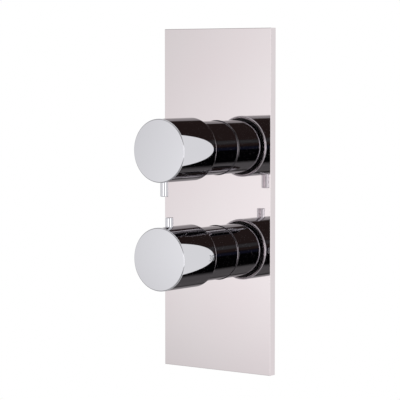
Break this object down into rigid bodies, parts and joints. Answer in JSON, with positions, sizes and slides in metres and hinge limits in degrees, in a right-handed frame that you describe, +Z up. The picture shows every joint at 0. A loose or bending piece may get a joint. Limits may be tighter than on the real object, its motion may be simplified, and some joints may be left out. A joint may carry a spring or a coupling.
{
  "type": "thermostatic shower valve",
  "caption": "Concealed thermostatic shower valve: tall chrome cover plate with a round diverter handle above a round temperature handle, brass body behind.",
  "frame": {"origin": "middle of the cover plate's back rim, on the face of the finished wall", "axes": "+Y into the wall, square to the plate; +Z up along the plate's long side; +X to the right of someone facing the valve"},
  "size_m": [0.115, 0.1805, 0.3],
  "materials": {
    "chrome": "mirror-polished chrome plate on brass",
    "cast_brass": "sand-cast brass, as cast and machined",
    "turned_brass": "turned brass",
    "steel": "stainless screws and clips",
    "spring_steel": "drawn stainless wire",
    "zinc_sheet": "zinc-plated sheet steel",
    "strainer": "perforated stainless sheet",
    "copper_capsule": "drawn copper alloy",
    "rubber": "black EPDM rubber",
    "foam": "black closed-cell foam",
    "fibre": "red vulcanised fibre",
    "grey_plastic": "glass-filled nylon",
    "white_plastic": "acetal",
    "ceramic": "lapped alumina"
  },
  "bodies": {
    "valve": {"cover_plate": "chrome", "plate_gasket": "foam", "plate_seals": "rubber", "valve_body": "cast_brass", "waterway_plug": "turned_brass", "plug_washer": "fibre", "fixing_bracket": "zinc_sheet", "bracket_screws": "steel", "hot_inlet_connector": "turned_brass", "cold_inlet_connector": "turned_brass", "side_outlet_connector": "turned_brass", "top_outlet_connector": "turned_brass", "port_washers": "fibre", "hot_check_valve_body": "white_plastic", "hot_check_spring": "spring_steel", "cold_check_valve_body": "white_plastic", "cold_check_spring": "spring_steel", "inlet_filters": "strainer", "sleeve_seals": "rubber", "upper_retaining_nut": "turned_brass", "lower_retaining_nut": "turned_brass", "upper_sleeve": "chrome", "lower_sleeve": "chrome", "temperature_stop_ring": "white_plastic", "diverter_cartridge_shell": "grey_plastic", "diverter_base_plate": "grey_plastic", "diverter_base_seals": "rubber", "diverter_fixed_disc": "ceramic", "thermo_cartridge_shell": "grey_plastic", "cartridge_seals": "rubber", "thermo_end_cage": "grey_plastic", "return_spring": "spring_steel"},
    "diverter_handle": {"diverter_knob": "chrome", "diverter_lever_pin": "chrome", "upper_glide_ring": "grey_plastic", "upper_grub_screw": "steel", "upper_handle_adaptor": "turned_brass", "upper_adaptor_screw": "steel", "upper_spindle_seals": "rubber", "diverter_spindle": "turned_brass", "diverter_disc_carrier": "white_plastic", "diverter_moving_disc": "ceramic"},
    "temperature_handle": {"temperature_knob": "chrome", "lower_glide_ring": "grey_plastic", "lower_grub_screw": "steel", "lower_handle_adaptor": "turned_brass", "lower_adaptor_screw": "steel", "lower_spindle_seals": "rubber", "thermo_spindle": "turned_brass", "stop_button_spring": "spring_steel"},
    "stop_button": {"stop_button": "chrome", "stop_button_clip": "steel"},
    "regulator": {"regulating_nut": "turned_brass", "overtravel_spring": "spring_steel", "thrust_cap": "grey_plastic", "thrust_cap_snap_ring": "steel", "wax_element": "copper_capsule", "mixing_shuttle": "grey_plastic"},
    "hot_poppet": {"hot_check_poppet": "white_plastic"},
    "cold_poppet": {"cold_check_poppet": "white_plastic"}
  },
  "joints": [
    {"name": "diverter_turn", "type": "hinge", "parent": "valve", "child": "diverter_handle", "pos_m": [0, 0, 0.046], "axis": [0, -1, 0], "range_deg": [-60, 60]},
    {"name": "temperature_turn", "type": "hinge", "parent": "valve", "child": "temperature_handle", "pos_m": [0, 0, -0.046], "axis": [0, -1, 0], "range_deg": [-165, 75]},
    {"name": "button_press", "type": "slide", "parent": "temperature_handle", "child": "stop_button", "axis": [0, 0, -1], "range_m": [0, 0.003], "stiffness_N_per_m": 600, "springref_m": -0.002, "deforming": ["stop_button_spring"]},
    {"name": "regulator_travel", "type": "slide", "parent": "valve", "child": "regulator", "axis": [0, -1, 0], "range_m": [-0.00229, 0.00104], "deforming": ["return_spring"]},
    {"name": "hot_check", "type": "slide", "parent": "valve", "child": "hot_poppet", "axis": [1, 0, 0], "range_m": [0, 0.002], "stiffness_N_per_m": 120, "springref_m": -0.001, "deforming": ["hot_check_spring"]},
    {"name": "cold_check", "type": "slide", "parent": "valve", "child": "cold_poppet", "axis": [-1, 0, 0], "range_m": [0, 0.002], "stiffness_N_per_m": 120, "springref_m": -0.001, "deforming": ["cold_check_spring"]}
  ],
  "couplings": [
    {"joint": "regulator_travel", "follows": "temperature_turn", "m_per_rad": 0.00079577}
  ]
}
